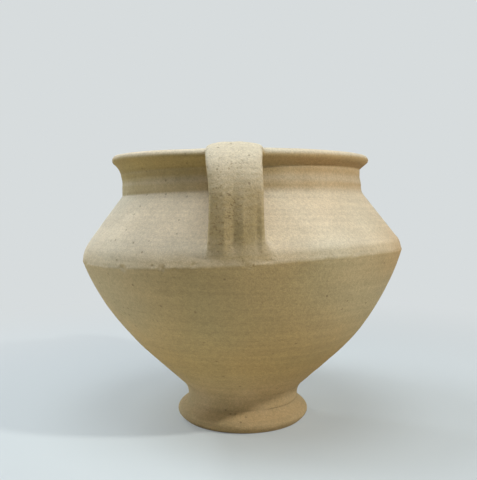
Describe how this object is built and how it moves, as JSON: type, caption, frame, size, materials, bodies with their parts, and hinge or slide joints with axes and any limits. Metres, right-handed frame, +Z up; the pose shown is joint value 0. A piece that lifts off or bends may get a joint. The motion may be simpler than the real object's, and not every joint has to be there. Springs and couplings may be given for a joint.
{
  "type": "two-handled footed jar",
  "caption": "Footed, carinated jar with a wide mouth, an everted rim and vertical strap handles, in unglazed buff clay, for storing or mixing food and drink.",
  "frame": {"origin": "centre of the foot's resting face, on the floor", "axes": "+Z up; -Y towards the front handle, +Y towards the back handle; the walls above the foot lean a little towards -X"},
  "size_m": [0.2861, 0.306, 0.2392],
  "materials": {
    "buff_clay": "matte, fired, unglazed",
    "luting_clay": "matte, fired, unglazed, thumbed"
  },
  "bodies": {
    "root": {"foot": "buff_clay", "bowl": "buff_clay", "shoulder": "buff_clay", "neck": "buff_clay", "rim": "buff_clay", "front_handle": "buff_clay", "back_handle": "buff_clay", "front_handle_top_lute": "luting_clay", "back_handle_top_lute": "luting_clay", "front_handle_root_lute": "luting_clay", "back_handle_root_lute": "luting_clay", "foot_seam_coil": "luting_clay", "carination_seam_coil": "luting_clay", "neck_seam_coil": "luting_clay"}
  },
  "joints": []
}
